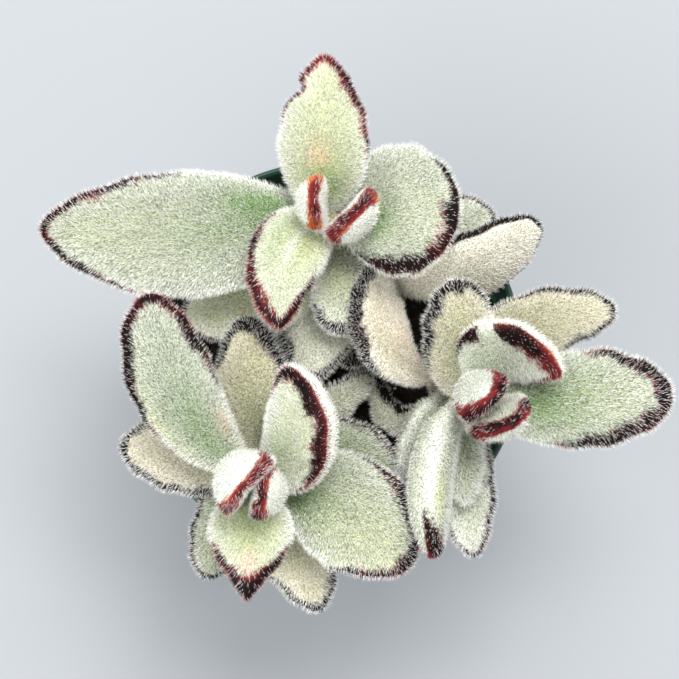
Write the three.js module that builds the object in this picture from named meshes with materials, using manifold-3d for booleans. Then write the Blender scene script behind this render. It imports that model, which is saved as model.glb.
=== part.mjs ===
// Potted daruma panda plant: a green nursery pot, soil, three felted stems and their thick furry leaves.
// Millimetres, +Z up. The origin is the middle of the pot's underside, and +Y points to the top head.
import * as THREE from "three";
import { mergeVertices } from "three/addons/utils/BufferGeometryUtils.js";
import Module from "manifold-3d";

const wasm = await Module();
wasm.setup();

// Driving dimensions
const rimRadius = 52.5;
const potHeight = 90;
const potBaseRadius = 36;
const potWall = 1.2;
const potFloor = 1.6;
const rimRoll = 1.6;
const rimBandHeight = 9;
const rimBandStep = 1.2;
const potCorner = 1.5;
const potSegments = 48;
const drainHoles = 8;
const drainRadius = 4;
const drainCircle = 25;
const soilHeight = 81;
const soilBump = 0.7;
const soilShoulder = 3;
const soilSides = 32;
const stemRadius = 4;
const stemTaper = 0.12;
const stemSunk = 14;
const stemRings = 9;
const stemSides = 10;
const clearance = 0.3;
const leafThick = 7;
const leafFullness = 0.45;
const leafRings = 13;
const leafSides = 10;
const crenateDepth = 0.45;
const crenateFrom = 0.35;
const crenateFull = 0.6;
const notchAlong = 0.8;
const notchLength = 0.045;

// Colours and finishes
const finish = (color, roughness) => new THREE.MeshStandardMaterial({ color, roughness, metalness: 0 });
const potPlastic = finish(0x2f5b46, 0.45);
const pottingSoil = finish(0x15130d, 0.95);
const stemFelt = finish(0xa9ad8a, 0.9);
const leafFelt = {
  young: finish(0xdde3b4, 0.9),
  grown: finish(0xbfcba5, 0.9),
  old: finish(0xd3cbb0, 0.9),
};

const point = (p) => new THREE.Vector3(...p);
const up = new THREE.Vector3(0, 0, 1);
const heading = (angle) => new THREE.Vector3(Math.cos(angle), Math.sin(angle), 0);

// A closed skin over a row of rings, with a single point at each end
function skin(start, rings, end) {
  const sides = rings[0].length;
  const corners = [start, ...rings.flat(), end];
  const last = corners.length - 1;
  const faces = [];
  rings.forEach((ring, row) => {
    const first = 1 + row * sides;
    for (let side = 0; side < sides; side += 1) {
      const next = (side + 1) % sides;
      if (row === 0) faces.push(0, first + next, first + side);
      if (row === rings.length - 1) faces.push(last, first + side, first + next);
      else {
        faces.push(first + side, first + next, first + next + sides);
        faces.push(first + side, first + next + sides, first + side + sides);
      }
    }
  });
  const geometry = new THREE.BufferGeometry();
  const places = corners.flatMap((corner) => corner.toArray());
  geometry.setAttribute("position", new THREE.Float32BufferAttribute(places, 3));
  geometry.setIndex(faces);
  return geometry;
}

// Solids in and out of the boolean library
function solidOf(geometry) {
  const bare = geometry.clone();
  bare.deleteAttribute("normal");
  bare.deleteAttribute("uv");
  const merged = mergeVertices(bare, 1e-4);
  const vertProperties = new Float32Array(merged.attributes.position.array);
  const triVerts = new Uint32Array(merged.index.array);
  return new wasm.Manifold(new wasm.Mesh({ numProp: 3, vertProperties, triVerts }));
}

function geometryOf(solid) {
  const mesh = solid.getMesh();
  const geometry = new THREE.BufferGeometry();
  geometry.setAttribute("position", new THREE.Float32BufferAttribute(mesh.vertProperties, 3));
  geometry.setIndex(Array.from(mesh.triVerts));
  return geometry;
}

// Stems: a gently bent felted rod from inside the soil to the growing tip
const stems = {
  top: { foot: [2.5, 26, soilHeight - stemSunk], bend: [2.5, 27.5, 101], tip: [1.5, 35.5, 119] },
  left: { foot: [-15.5, -25, soilHeight - stemSunk], bend: [-16.5, -26.5, 101], tip: [-18.5, -31.5, 119] },
  right: { foot: [30, -7.5, soilHeight - stemSunk], bend: [31.5, -8, 101], tip: [38, -11.5, 118] },
};

function stemGeometry({ foot, bend, tip }, grow = 0) {
  const radius = stemRadius + grow;
  const start = point(foot).addScaledVector(up, -grow);
  const curve = new THREE.QuadraticBezierCurve3(start, point(bend), point(tip));
  const rings = [];
  for (let step = 0; step <= stemRings; step += 1) {
    const along = step / stemRings;
    const centre = curve.getPoint(along);
    const reach = radius * (step < stemRings ? 1 - stemTaper * along : 1 - 2.5 * stemTaper);
    const ring = [];
    for (let side = 0; side < stemSides; side += 1) {
      const angle = (2 * Math.PI * side) / stemSides;
      ring.push(centre.clone().addScaledVector(heading(angle), reach));
    }
    rings.push(ring);
  }
  const end = curve.getPoint(1).addScaledVector(up, 0.6 * radius);
  return skin(start, rings, end);
}

// Leaves. A leaf grows from its root on the stem to its tip along a bowed line.
// arch lifts the middle, bend pushes it sideways, roll turns the blade about its length,
// cup raises both margins, widest is where along the length it is broadest, blunt fills its ends,
// face is the direction that the back of an upright leaf looks to, in degrees,
// notch is the depth of a nick in the left margin near the tip.
const grown = {
  thick: leafThick, arch: 2, bend: 0, roll: 0, cup: 0.1, widest: 0.52, blunt: 0.58, notch: 0, age: "grown",
};

const topLeaves = [
  { root: [-1, 37, 116], tip: [-3, 38.5, 146], width: 12.5, thick: 6.5,
    arch: -2, face: 180, cup: 0.35, age: "young" },
  { root: [3.5, 34.5, 116], tip: [7.5, 36, 143], width: 15.5, thick: 7,
    arch: -2.5, face: -45, cup: 0.35, age: "young" },
  { root: [-1, 36, 119], tip: [-0.5, 74, 132], width: 21.5,
    arch: 3, widest: 0.46, blunt: 0.64, notch: 2.4, age: "young" },
  { root: [-1.5, 35, 121], tip: [-11.5, 7.5, 131], width: 18.5,
    bend: 4.5, arch: 3, widest: 0.4, blunt: 0.58, age: "young" },
  { root: [2, 34.5, 117], tip: [33, 36.5, 124], width: 32.5,
    bend: -1, arch: 2, widest: 0.56, blunt: 0.5, cup: 0.16 },
  { root: [0, 35, 114], tip: [-72, 33, 118], width: 31, arch: 3, bend: -3, widest: 0.5, blunt: 0.6 },
  { root: [2, 29, 103], tip: [3.5, 6, 112], width: 15.5, bend: -1, arch: 2, widest: 0.55, blunt: 0.36 },
  { root: [3, 29, 101], tip: [43, 36.5, 108], width: 19, arch: 2 },
  { root: [3.5, 27, 95], tip: [53.5, 35, 111], width: 26,
    bend: 10.5, roll: 122, thick: 6.5, widest: 0.68, blunt: 0.45, age: "old" },
  { root: [2, 28, 98], tip: [-37, 9, 99], width: 26, arch: 3 },
  { root: [2, 29, 99], tip: [9, 53.5, 107], width: 15 },
  { root: [1.5, 26, 92], tip: [-6.5, -7, 101], width: 19.5, arch: 3, age: "old" },
  { root: [3, 25.5, 88], tip: [8.5, -2.5, 96], width: 18, arch: 2, widest: 0.6, blunt: 0.42, age: "old" },
];

const leftLeaves = [
  { root: [-19.5, -30.5, 116], tip: [-19.5, -30, 150], width: 17, thick: 9,
    arch: -3.5, face: 140, cup: 0.45, age: "young" },
  { root: [-17, -32, 116], tip: [-15.5, -32, 147], width: 13, thick: 7.5,
    arch: -2.5, face: -8, cup: 0.4, age: "young" },
  { root: [-15.5, -30, 118], tip: [-9.5, -1.5, 132], width: 21.5, thick: 11,
    bend: 7, roll: 40, arch: 2, widest: 0.48, blunt: 0.5, age: "young" },
  { root: [-18.5, -32, 118], tip: [-20, -60, 124], width: 20.5,
    arch: 3, widest: 0.4, blunt: 1.1, age: "young" },
  { root: [-18.5, -30, 115], tip: [-43.5, 16, 128], width: 21,
    bend: -6, arch: 3, widest: 0.61, blunt: 0.5 },
  { root: [-17, -31, 109], tip: [19.5, -54, 116], width: 28.5,
    bend: -5.5, arch: 3, widest: 0.58, blunt: 0.55 },
  { root: [-17, -28, 103], tip: [-20.5, 10.5, 117], width: 17.5,
    arch: 1, widest: 0.58, blunt: 0.5, age: "old" },
  { root: [-17, -28, 99], tip: [-53.5, -22.5, 104], width: 20, arch: 3, age: "old" },
  { root: [-17, -28.5, 98], tip: [-31.5, -57, 104], width: 17, bend: 1.5, arch: 2 },
  { root: [-16.5, -28, 95], tip: [20, -35, 101], width: 26, bend: -3, arch: 3 },
  { root: [-16.5, -28.5, 92], tip: [-2, -66, 100], width: 19.5, arch: 3, age: "old" },
  { root: [-15.5, -25, 89], tip: [11.5, -4.5, 96], width: 8.5,
    arch: 2, widest: 0.6, blunt: 0.45, age: "old" },
];

const rightLeaves = [
  { root: [37.5, -10.5, 115], tip: [39.5, -9.5, 146], width: 13.5, thick: 8,
    arch: -3.5, face: 137, cup: 0.4, age: "young" },
  { root: [39.5, -12.5, 115], tip: [44, -15, 144], width: 15.5, thick: 7,
    arch: -2.5, face: -61, cup: 0.35, age: "young" },
  { root: [37, -7.5, 116], tip: [57.5, -4, 132], width: 21.5,
    bend: -8.5, roll: -40, arch: 2, age: "young" },
  { root: [38, -11.5, 114], tip: [86.5, -9, 120], width: 24.5, arch: 3, widest: 0.56, blunt: 0.48 },
  { root: [35, -9.5, 112], tip: [33.5, 19.5, 124], width: 17,
    bend: -1.5, arch: 2, widest: 0.54, blunt: 0.36, age: "old" },
  { root: [33.5, -11.5, 112], tip: [26.5, -49, 126], width: 21, bend: 4, roll: 80, thick: 11 },
  { root: [28, -6.5, 98], tip: [11.5, 24, 114], width: 17.5,
    bend: -7, roll: -30, arch: 1, widest: 0.62, blunt: 0.58, age: "old" },
  { root: [33.5, -9, 100], tip: [74, 11.5, 108], width: 17.5,
    bend: -6.5, arch: 2, blunt: 0.46, age: "old" },
  { root: [34, -10, 105], tip: [35, -37.5, 112], width: 10.5 },
  { root: [33.5, -9, 98], tip: [38, -51.5, 104], width: 15, bend: 0.5, arch: 3 },
  { root: [32.5, -9, 102], tip: [19.5, -32, 106], width: 11, bend: 3, roll: 55 },
  { root: [29, -10.5, 87], tip: [12.8, -4.5, 92], width: 7.5, thick: 6, bend: -9.5, arch: 2, age: "old" },
];

const heads = { top: topLeaves, left: leftLeaves, right: rightLeaves };

function leafGeometry(given, grow = 0) {
  const leaf = { ...grown, ...given };
  const root = point(leaf.root);
  const tip = point(leaf.tip);
  const chord = tip.clone().sub(root).normalize();
  root.addScaledVector(chord, -grow);
  tip.addScaledVector(chord, grow);
  const away = leaf.face === undefined ? Math.atan2(chord.y, chord.x) : THREE.MathUtils.degToRad(leaf.face);
  const side = heading(away).cross(up);
  side.addScaledVector(chord, -side.dot(chord)).normalize();
  const normal = side.clone().cross(chord);
  const middle = root.clone().add(tip).multiplyScalar(0.5);
  middle.addScaledVector(normal, 2 * leaf.arch).addScaledVector(side, 2 * leaf.bend);
  const curve = new THREE.QuadraticBezierCurve3(root, middle, tip);
  const peak = Math.log(0.5) / Math.log(leaf.widest);
  const roll = THREE.MathUtils.degToRad(leaf.roll);
  const rings = [];
  for (let row = 1; row < leafRings; row += 1) {
    const turn = (Math.PI * row) / leafRings;
    const along = (1 - Math.cos(turn)) / 2;
    const centre = curve.getPoint(along);
    const forward = curve.getTangent(along);
    const across = side.clone().addScaledVector(forward, -side.dot(forward)).normalize();
    const rise = across.clone().cross(forward);
    const spread = across.clone().multiplyScalar(Math.cos(roll)).addScaledVector(rise, Math.sin(roll));
    const lift = rise.clone().multiplyScalar(Math.cos(roll)).addScaledVector(across, -Math.sin(roll));
    const ramp = THREE.MathUtils.smoothstep(along, crenateFrom, crenateFull);
    const toothed = Math.cos(leafRings * turn) * ramp;
    const outline = Math.sin(Math.PI * along ** peak) ** leaf.blunt;
    const half = (leaf.width / 2 + crenateDepth * toothed) * outline + grow;
    const thick = (leaf.thick / 2) * Math.sin(Math.PI * along) ** leafFullness + grow;
    const bite = leaf.notch * Math.exp(-(((along - notchAlong) / notchLength) ** 2));
    const ring = [];
    for (let corner = 0; corner < leafSides; corner += 1) {
      const angle = (-2 * Math.PI * corner) / leafSides;
      const x = half * Math.cos(angle) + bite * Math.max(0, -Math.cos(angle));
      const y = thick * Math.sin(angle) + leaf.cup * half * Math.cos(angle) ** 2;
      ring.push(centre.clone().addScaledVector(spread, x).addScaledVector(lift, y));
    }
    rings.push(ring);
  }
  return skin(root, rings, tip);
}

// The pot's plain outer wall, by height
const potSlope = (rimRadius - rimRoll - potBaseRadius) / potHeight;
const outer = (z) => potBaseRadius + potSlope * z;

// Pot: a tapered wall with a rim band and a rolled lip, and drain holes through its floor
function potSolid() {
  const bandFoot = potHeight - rimBandHeight;
  const profile = [
    [0, 0],
    [potBaseRadius - potCorner, 0],
    [potBaseRadius, potCorner],
    [outer(bandFoot) - rimBandStep, bandFoot],
    [outer(bandFoot), bandFoot + 1],
    [rimRadius - rimRoll, potHeight - 2 * rimRoll],
    [rimRadius, potHeight - rimRoll],
    [rimRadius - 0.4 * rimRoll, potHeight],
    [rimRadius - 1.2 * rimRoll, potHeight - 0.4 * rimRoll],
    [outer(bandFoot) - potWall, bandFoot + 1],
    [outer(bandFoot) - rimBandStep - potWall, bandFoot],
    [potBaseRadius - potWall, potFloor + potCorner],
    [potBaseRadius - potWall - potCorner, potFloor],
    [0, potFloor],
  ];
  const lathe = new THREE.LatheGeometry(profile.map(([r, z]) => new THREE.Vector2(r, z)), potSegments);
  lathe.rotateX(Math.PI / 2);
  let pot = solidOf(lathe);
  for (let hole = 0; hole < drainHoles; hole += 1) {
    const angle = (2 * Math.PI * hole) / drainHoles;
    const drill = new THREE.CylinderGeometry(drainRadius, drainRadius, 3 * potFloor, 12);
    drill.rotateX(Math.PI / 2);
    drill.translate(drainCircle * Math.cos(angle), drainCircle * Math.sin(angle), potFloor / 2);
    pot = pot.subtract(solidOf(drill));
  }
  return pot;
}

// Soil: a filled body inside the pot, crumbly on top
function soilSolid() {
  const inner = (z) => outer(z) - potWall - 2 * clearance;
  const wave = (x, y) => Math.sin(0.9 * x + 0.5 * y) + Math.cos(0.6 * x - 0.8 * y) * Math.sin(0.35 * y);
  const floor = potFloor + clearance;
  const ringAt = (radius, height) => {
    const ring = [];
    for (let side = 0; side < soilSides; side += 1) {
      const spot = heading((2 * Math.PI * side) / soilSides).multiplyScalar(radius);
      ring.push(spot.setZ(height(spot.x, spot.y)));
    }
    return ring;
  };
  const top = (x, y) => soilHeight + soilBump * wave(x, y);
  const shoulder = soilHeight - soilShoulder;
  const topRadius = inner(shoulder) - rimBandStep;
  const corner = floor + potCorner;
  const rings = [
    ringAt(inner(0) - potCorner, () => floor),
    ringAt(inner(0), () => corner),
    ringAt(topRadius, () => shoulder),
  ];
  for (const share of [0.99, 0.8, 0.6, 0.4, 0.2]) rings.push(ringAt(topRadius * share, top));
  return solidOf(skin(new THREE.Vector3(0, 0, floor), rings, new THREE.Vector3(0, 0, top(0, 0))));
}

const group = new THREE.Group();

function addMesh(name, solid, material) {
  const mesh = new THREE.Mesh(geometryOf(solid), material);
  mesh.name = name;
  group.add(mesh);
}

const largest = (solid) => solid.decompose().sort((a, b) => b.volume() - a.volume())[0];

addMesh("pot", potSolid(), potPlastic);

// Each stem stands in a plain hole of the soil
let soil = soilSolid();
const stemRoom = {};
for (const [head, stem] of Object.entries(stems)) {
  addMesh(`${head}_stem`, solidOf(stemGeometry(stem)), stemFelt);
  stemRoom[head] = solidOf(stemGeometry(stem, clearance));
  soil = soil.subtract(stemRoom[head]);
}
addMesh("soil", soil, pottingSoil);

// Leaves, youngest first: each is trimmed to clear the stems and the leaves already in place
const inPlace = Object.values(stemRoom);
for (const [head, leaves] of Object.entries(heads)) {
  leaves.forEach((leaf, index) => {
    let blade = solidOf(leafGeometry(leaf));
    for (const neighbour of inPlace) blade = blade.subtract(neighbour);
    inPlace.push(solidOf(leafGeometry(leaf, clearance)));
    const name = `${head}_leaf_${String(index + 1).padStart(2, "0")}`;
    addMesh(name, largest(blade), leafFelt[leaf.age ?? grown.age]);
  });
}

export default group;
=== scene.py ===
import math
import bpy
import numpy as np
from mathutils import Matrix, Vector, noise


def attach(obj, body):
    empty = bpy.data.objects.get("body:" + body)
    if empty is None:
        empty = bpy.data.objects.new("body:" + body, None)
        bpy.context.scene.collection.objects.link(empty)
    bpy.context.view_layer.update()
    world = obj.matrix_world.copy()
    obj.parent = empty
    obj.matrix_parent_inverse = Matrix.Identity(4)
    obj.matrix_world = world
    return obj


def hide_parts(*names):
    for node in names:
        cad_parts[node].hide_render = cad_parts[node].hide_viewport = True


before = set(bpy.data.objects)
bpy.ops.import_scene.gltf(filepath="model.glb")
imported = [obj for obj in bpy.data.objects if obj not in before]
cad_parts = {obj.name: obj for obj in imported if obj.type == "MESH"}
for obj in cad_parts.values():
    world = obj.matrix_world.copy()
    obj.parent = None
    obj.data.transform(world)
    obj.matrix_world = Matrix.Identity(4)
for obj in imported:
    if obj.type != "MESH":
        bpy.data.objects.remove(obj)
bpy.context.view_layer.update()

mm = 0.001


# Small helpers

# sRGB hex to linear colour
def srgb(hexCode):
    parts = [int(hexCode[i:i + 2], 16) / 255 for i in (0, 2, 4)]
    return [p / 12.92 if p <= 0.04045 else ((p + 0.055) / 1.055) ** 2.4 for p in parts] + [1.0]


# Adds a node with its settings, socket values and links
def addNode(tree, kind, values=None, links=None, **settings):
    node = tree.nodes.new(kind)
    for name, value in settings.items():
        setattr(node, name, value)
    for key, value in (values or {}).items():
        node.inputs[key].default_value = value
    for key, socket in (links or {}).items():
        tree.links.new(socket, node.inputs[key])
    return node


# An S-shaped step from 0 at low to 1 at high
def smooth(low, high, value):
    t = np.clip((np.asarray(value, float) - low) / (high - low), 0, 1)
    return t * t * (3 - 2 * t)


# A mesh from millimetres, with its float, colour and vector attributes
def meshFrom(name, verts, faces, floats=None, colours=None, vectors=None):
    mesh = bpy.data.meshes.new(name)
    mesh.from_pydata((np.asarray(verts) * mm).tolist(), [], faces)
    for key, values in (floats or {}).items():
        layer = mesh.attributes.new(key, "FLOAT", "POINT")
        layer.data.foreach_set("value", np.asarray(values, np.float32))
    for key, values in (colours or {}).items():
        layer = mesh.attributes.new(key, "FLOAT_COLOR", "POINT")
        layer.data.foreach_set("color", np.asarray(values, np.float32).ravel())
    for key, values in (vectors or {}).items():
        layer = mesh.attributes.new(key, "FLOAT_VECTOR", "POINT")
        layer.data.foreach_set("vector", np.asarray(values, np.float32).ravel())
    mesh.update()
    return mesh


# An object in the scene, with its materials and smooth or flat shading
def linked(name, mesh, materials, smoothShade=True):
    for material in materials:
        mesh.materials.append(material)
    mesh.polygons.foreach_set("use_smooth", [smoothShade] * len(mesh.polygons))
    piece = bpy.data.objects.new(name, mesh)
    bpy.context.scene.collection.objects.link(piece)
    return piece


# Faces of a closed skin: a first point, rows of rings, a last point
def skinFaces(rows, sides):
    faces = []
    last = rows * sides + 1
    for side in range(sides):
        after = (side + 1) % sides
        faces.append((0, 1 + after, 1 + side))
        faces.append((last, last - sides + side, last - sides + after))
        for row in range(rows - 1):
            low = 1 + row * sides
            faces.append((low + side, low + after, low + after + sides, low + side + sides))
    return faces


# Camera, light and floor: a plain studio seen from straight above

studio = {
    "cameraAt": (3.1, 4.7, 590.0), "lens": 99.5, "sensor": 36.0, "clipEnd": 20000.0,
    "keyPower": 17.0, "keySize": 500.0, "keyAt": (150.0, 520.0, 1150.0),
    "fillPower": 7.0, "fillSize": 1000.0, "fillAt": (-600.0, -300.0, 1000.0),
    "aimAt": (0.0, 0.0, 100.0), "sky": "F3F6FA", "skyStrength": 0.9,
    "floorHalf": 2500.0, "paper": "A0A3A6", "paperRoughness": 0.9,
}


def makeStudio(s):
    scene = bpy.context.scene
    cameraData = bpy.data.cameras.new("cameraAbove")
    cameraData.lens = s["lens"]
    cameraData.sensor_width = s["sensor"]
    cameraData.clip_end = s["clipEnd"] * mm
    camera = bpy.data.objects.new("cameraAbove", cameraData)
    camera.location = Vector(s["cameraAt"]) * mm
    scene.collection.objects.link(camera)
    scene.camera = camera
    for name in ("key", "fill"):
        light = bpy.data.lights.new(name + "Light", "AREA")
        light.energy = s[name + "Power"]
        light.size = s[name + "Size"] * mm
        lamp = bpy.data.objects.new(name + "Light", light)
        lamp.location = Vector(s[name + "At"]) * mm
        aim = Vector(s["aimAt"]) * mm - lamp.location
        lamp.rotation_euler = aim.to_track_quat("-Z", "Y").to_euler()
        scene.collection.objects.link(lamp)
    world = bpy.data.worlds.new("softSky")
    world.use_nodes = True
    background = world.node_tree.nodes["Background"]
    background.inputs["Color"].default_value = srgb(s["sky"])
    background.inputs["Strength"].default_value = s["skyStrength"]
    scene.world = world
    scene.view_settings.view_transform = "Standard"       # plain photographic contrast
    half = s["floorHalf"]
    corners = [(-half, -half, 0), (half, -half, 0), (half, half, 0), (-half, half, 0)]
    paper = bpy.data.materials.new("matteBackdropPaper")
    paper.use_nodes = True
    shader = paper.node_tree.nodes["Principled BSDF"]
    shader.inputs["Base Color"].default_value = srgb(s["paper"])
    shader.inputs["Roughness"].default_value = s["paperRoughness"]
    linked("paperFloor", meshFrom("paperFloor", corners, [(0, 1, 2, 3)]), [paper])


# Plant hairs: dry cellulose, which gives a soft dull light, each a single colour
hairColours = {
    "white": ("whiteFeltHair", "F2F1EC"),
    "cream": ("creamFeltHair", "E9E1CE"),
    "sage": ("sageFeltHair", "A0A58C"),
    "black": ("darkMarginHair", "130B0A"),
    "red": ("redMarginHair", "963638"),
    "rust": ("rustMarginHair", "D2763E"),
}
hairFinish = {"roughness": 0.55, "ior": 1.55, "specular": 0.2}      # cellulose, with little shine


def hairMaterial(name, hexCode):
    material = bpy.data.materials.new(name)
    material.use_nodes = True
    shader = material.node_tree.nodes["Principled BSDF"]
    shader.inputs["Base Color"].default_value = srgb(hexCode)
    shader.inputs["Roughness"].default_value = hairFinish["roughness"]
    shader.inputs["IOR"].default_value = hairFinish["ior"]
    shader.inputs["Specular IOR Level"].default_value = hairFinish["specular"]
    return material


# Leaf skins: matte waxy flesh under felt, by age. Grain is the felt's nap in mm.
skinLooks = {
    "young": {"name": "youngLeafSkin", "grain": 0.45, "contrast": 0.55, "roughness": 0.75},
    "grown": {"name": "grownLeafSkin", "grain": 0.45, "contrast": 0.75, "roughness": 0.78},
    "old": {"name": "oldLeafSkin", "grain": 0.45, "contrast": 0.7, "roughness": 0.8},
}
# Shared by all skins: noise sizes and bump in mm, watery flesh under wax, most shine lost in the felt
skinDetail = {
    "cloud": 6.0, "ragged": 0.9, "wander": 0.9, "noiseRoughness": 0.65, "bump": 0.15, "bumpStrength": 0.5,
    "ior": 1.42, "specular": 0.2,
}
# a margin's colour by its tone, from black through red to rust
toneStops = ((0.0, "1A100E"), (0.35, "381618"), (0.7, "822D30"), (1.0, "D0783C"))


# The leaf's colour comes from its skin attribute, its painted shade and light included. Rim is the distance
# in mm from the outer side of the dark margin, positive inward on the upper face, band is how wide the margin
# is there, tone how red it is.
def leafSkinMaterial(look):
    detail = skinDetail
    material = bpy.data.materials.new(look["name"])
    material.use_nodes = True
    tree = material.node_tree
    shader = tree.nodes["Principled BSDF"]
    place = addNode(tree, "ShaderNodeTexCoord").outputs["Object"]
    skin = addNode(tree, "ShaderNodeAttribute", attribute_name="skin").outputs["Color"]
    rim = addNode(tree, "ShaderNodeAttribute", attribute_name="rim").outputs["Fac"]
    band = addNode(tree, "ShaderNodeAttribute", attribute_name="band").outputs["Fac"]
    tone = addNode(tree, "ShaderNodeAttribute", attribute_name="tone").outputs["Fac"]
    grains = {}
    for name, size, octaves in (("nap", look["grain"], 3.0), ("cloud", detail["cloud"], 2.0),
                                ("ragged", detail["ragged"], 2.0)):
        values = {"Scale": 1 / (size * mm), "Detail": octaves, "Roughness": detail["noiseRoughness"]}
        grains[name] = addNode(tree, "ShaderNodeTexNoise", values, {"Vector": place}).outputs["Fac"]
    c = look["contrast"]
    mapped = {}
    for name, source, low, high, toLow, toHigh in (
            ("speck", grains["nap"], 0.32, 0.68, 1 - c, 1 + c),
            ("drift", grains["cloud"], 0.35, 0.65, 0.93, 1.06),
            ("wander", grains["ragged"], 0.3, 0.7, -detail["wander"], detail["wander"]),
            ("has", band, 0.1, 0.5, 0.0, 1.0),
            ("outside", rim, -0.35, 0.15, 0.0, 1.0)):
        values = {"From Min": low, "From Max": high, "To Min": toLow, "To Max": toHigh}
        mapped[name] = addNode(tree, "ShaderNodeMapRange", values, {"Value": source}).outputs["Result"]
    inner = addNode(tree, "ShaderNodeMath", None, {0: band, 1: mapped["wander"]}, operation="ADD")
    depth = addNode(tree, "ShaderNodeMath", None, {0: inner.outputs[0], 1: rim}, operation="SUBTRACT")
    edge = {"From Min": -0.4, "From Max": 0.8, "To Min": 0.0, "To Max": 1.0}
    inside = addNode(tree, "ShaderNodeMapRange", edge, {"Value": depth.outputs[0]}).outputs["Result"]
    both = addNode(tree, "ShaderNodeMath", None, {0: inside, 1: mapped["outside"]}, operation="MULTIPLY")
    amount = addNode(tree, "ShaderNodeMath", None, {0: both.outputs[0], 1: mapped["has"]},
                     operation="MULTIPLY")
    ramp = addNode(tree, "ShaderNodeValToRGB", None, {"Fac": tone})
    stops = ramp.color_ramp.elements
    for where, hexCode in toneStops[1:-1]:
        stops.new(where).color = srgb(hexCode)
    stops[0].color = srgb(toneStops[0][1])
    stops[-1].color = srgb(toneStops[-1][1])
    mixed = addNode(tree, "ShaderNodeMix", None, {0: amount.outputs[0]}, data_type="RGBA")
    tree.links.new(skin, mixed.inputs[6])
    tree.links.new(ramp.outputs["Color"], mixed.inputs[7])
    level = addNode(tree, "ShaderNodeMath", None, {0: mapped["speck"], 1: mapped["drift"]},
                    operation="MULTIPLY")
    lit = addNode(tree, "ShaderNodeVectorMath", None,
                  {0: mixed.outputs[2], "Scale": level.outputs[0]}, operation="SCALE")
    tree.links.new(lit.outputs[0], shader.inputs["Base Color"])
    height = {"Strength": detail["bumpStrength"], "Distance": detail["bump"] * mm}
    bump = addNode(tree, "ShaderNodeBump", height, {"Height": grains["nap"]})
    tree.links.new(bump.outputs["Normal"], shader.inputs["Normal"])
    shader.inputs["Roughness"].default_value = look["roughness"]
    shader.inputs["IOR"].default_value = detail["ior"]
    shader.inputs["Specular IOR Level"].default_value = detail["specular"]
    return material


# Leaves. Each repeats the solid leaf of its number, in mm: it grows from its root on the stem to its tip,
# arch lifts its middle, bend pushes it sideways, roll turns the blade, cup raises its margins, widest is
# where along its length it is broadest, blunt fills its ends, notch bites into its left side, face is where
# an upright leaf's back looks.
# margin gives where the dark margin starts on the left and right side, its width in mm, how red it is and
# how far in mm it is set in, taper over how long a stretch it widens, gap where and how long it is broken,
# salt how many light hairs stand in it, tipTone how much redder it is at the tip.
# flush, glow and blush are a green, a yellow and a pink patch: place along, place across, size, strength,
# and how much wider than long. Pale whitens the whole leaf, partly its own felt and partly painted light that
# lifts leaves lying in the shade of others; dimming lays painted shade over the whole leaf, on leaves deep
# among the others and on one top leaf lit too brightly; cool shifts the whole leaf greyer. rib paints its
# midrib green, partly flesh showing through and partly painted shade in the groove, and below zero a painted
# highlight.

leafForm = {
    "rings": 40, "sides": 28, "toothRings": 13, "toothDepth": 0.45, "toothFrom": 0.35, "toothFull": 0.6,
    "notchAlong": 0.8, "notchLength": 0.045,
    "fullness": 0.45, "plump": 0.88, "groove": 0.16, "grooveWidth": 0.3, "grooveFade": 0.7,
    "ripple": 0.35, "rippleSize": 7.0, "rippleFull": 3.0,
    "combAlong": 0.7, "combAcross": 0.9, "combRoot": 0.4,
}
grownLeaf = {
    "thick": 7, "arch": 2, "bend": 0, "roll": 0, "cup": 0.1, "widest": 0.52, "blunt": 0.58, "notch": 0,
    "age": "grown", "face": None, "margin": (0.6, 0.6, 1.8, 0.0, 0.5), "salt": 0.15, "paleAndLit": 0.0, "gap": None,
    "tipTone": 0.0,
    "flush": (0.35, 0.0, 0.3, 0.5), "glow": (0.8, 0.0, 0.3, 0.3), "blush": (0.5, 0.0, 0.1, 0.0),
    "paintedShade": 0.0, "cool": 0.0, "rib": 0.5, "taper": 0.28,
}
# how much of the felt on a leaf is white, cream and sage hair
feltShares = {"young": (0.75, 0.0, 0.15), "grown": (0.62, 0.0, 0.22), "old": (0.45, 0.28, 0.15)}
# The pale colour is the leaves' own whitening and also painted light that lifts leaves lying in shade; the
# dim colour is painted shade.
leafTints = {
    "young": {"base": "989E7C", "flush": "789250", "glow": "BCC088", "back": "D2D4C8", "root": "DADCD2",
              "paleAndLit": "E4E5DA"},
    "grown": {"base": "757D65", "flush": "5C7645", "glow": "AAAE80", "back": "A0A68E", "root": "BEC2B2",
              "paleAndLit": "E4E5DA"},
    "old": {"base": "A49E86", "flush": "848A6A", "glow": "BEB890", "back": "C0BAA6", "root": "C2BDAA",
            "paleAndLit": "F4EBDD"},
    "blush": "DDA08A", "paintedShade": "4A5142", "cool": "B9BFB2",
}

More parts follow.
